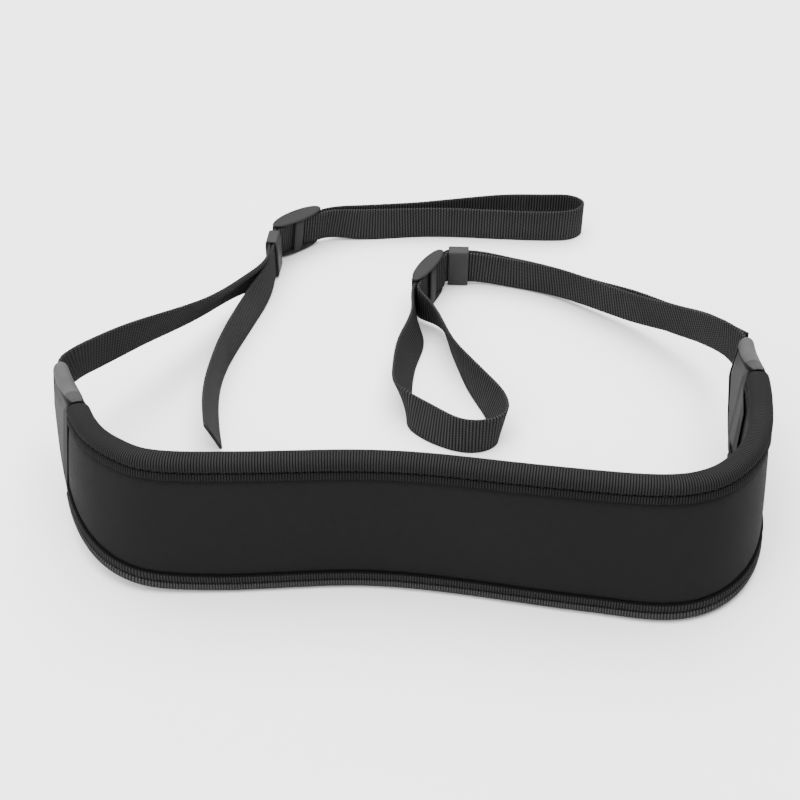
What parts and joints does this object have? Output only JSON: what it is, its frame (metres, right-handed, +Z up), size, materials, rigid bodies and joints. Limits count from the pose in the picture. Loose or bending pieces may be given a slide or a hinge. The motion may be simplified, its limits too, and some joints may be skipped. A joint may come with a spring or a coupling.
{
  "type": "camera neck strap",
  "caption": "Curved padded neoprene neck strap with moulded end tabs and adjustable webbing bands looped through sliders and keepers.",
  "frame": {"origin": "centre of the bounding box on the surface the strap stands on", "axes": "+X to the right along the pad, +Y from the pad towards the webbing loops, +Z up"},
  "size_m": [0.3026, 0.2708, 0.0687],
  "materials": {
    "neoprene": "smooth matt neoprene",
    "binding": "ribbed woven tape",
    "webbing": "ribbed nylon webbing",
    "vinyl": "soft moulded vinyl, semi gloss",
    "hardware": "moulded nylon, satin"
  },
  "bodies": {
    "root": {"pad": "neoprene", "binding_upper": "binding", "binding_lower": "binding", "end_tab_left": "vinyl", "end_tab_right": "vinyl", "webbing_left": "webbing", "webbing_right": "webbing", "slider_left": "hardware", "slider_right": "hardware", "keeper_left": "hardware", "keeper_right": "hardware"}
  },
  "joints": []
}
